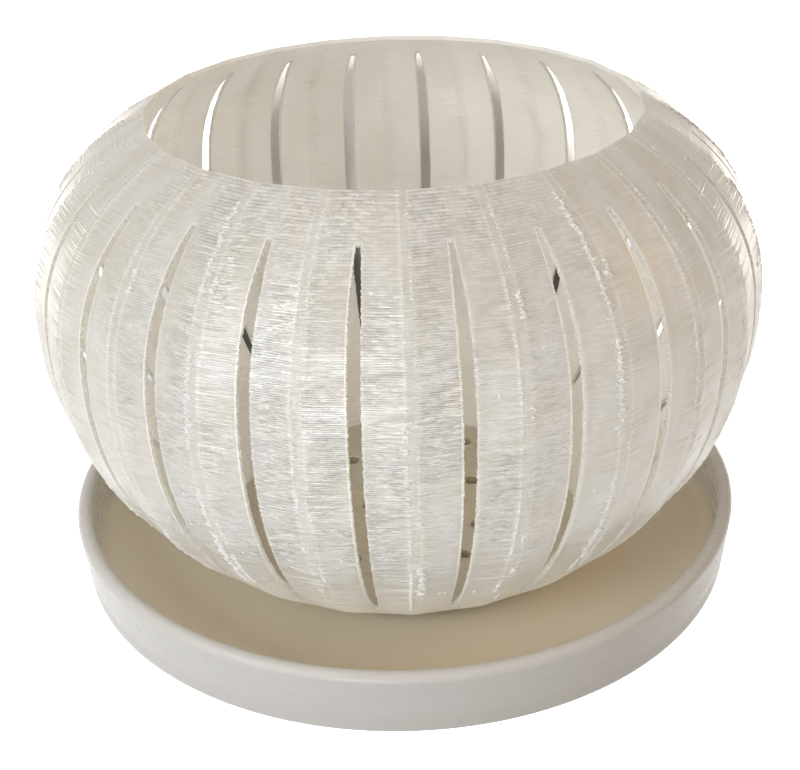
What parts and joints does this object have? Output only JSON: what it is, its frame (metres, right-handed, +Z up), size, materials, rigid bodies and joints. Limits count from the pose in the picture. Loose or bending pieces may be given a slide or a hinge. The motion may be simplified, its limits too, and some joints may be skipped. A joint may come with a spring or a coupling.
{
  "type": "orchid pot",
  "caption": "Round-bellied orchid pot with flat facets, tall air slots and drain holes, standing loose in a low round saucer.",
  "frame": {"origin": "middle of the saucer's underside, on the table", "axes": "+Z up along the pot's middle; -Y is the side that faces the camera, with a crease between two facets on it"},
  "size_m": [0.1208, 0.1208, 0.0808],
  "materials": {
    "pot_plastic": "translucent uncoloured print, satin with fine level layer lines and glossy beads along its edges",
    "saucer_plastic": "translucent uncoloured print, satin with fine level layer lines"
  },
  "bodies": {
    "saucer": {"saucer": "saucer_plastic"},
    "pot": {"pot": "pot_plastic"}
  },
  "joints": [
    {"name": "pot_lift", "type": "slide", "parent": "saucer", "child": "pot", "axis": [0, 0, 1], "range_m": [0, 0.06]}
  ]
}
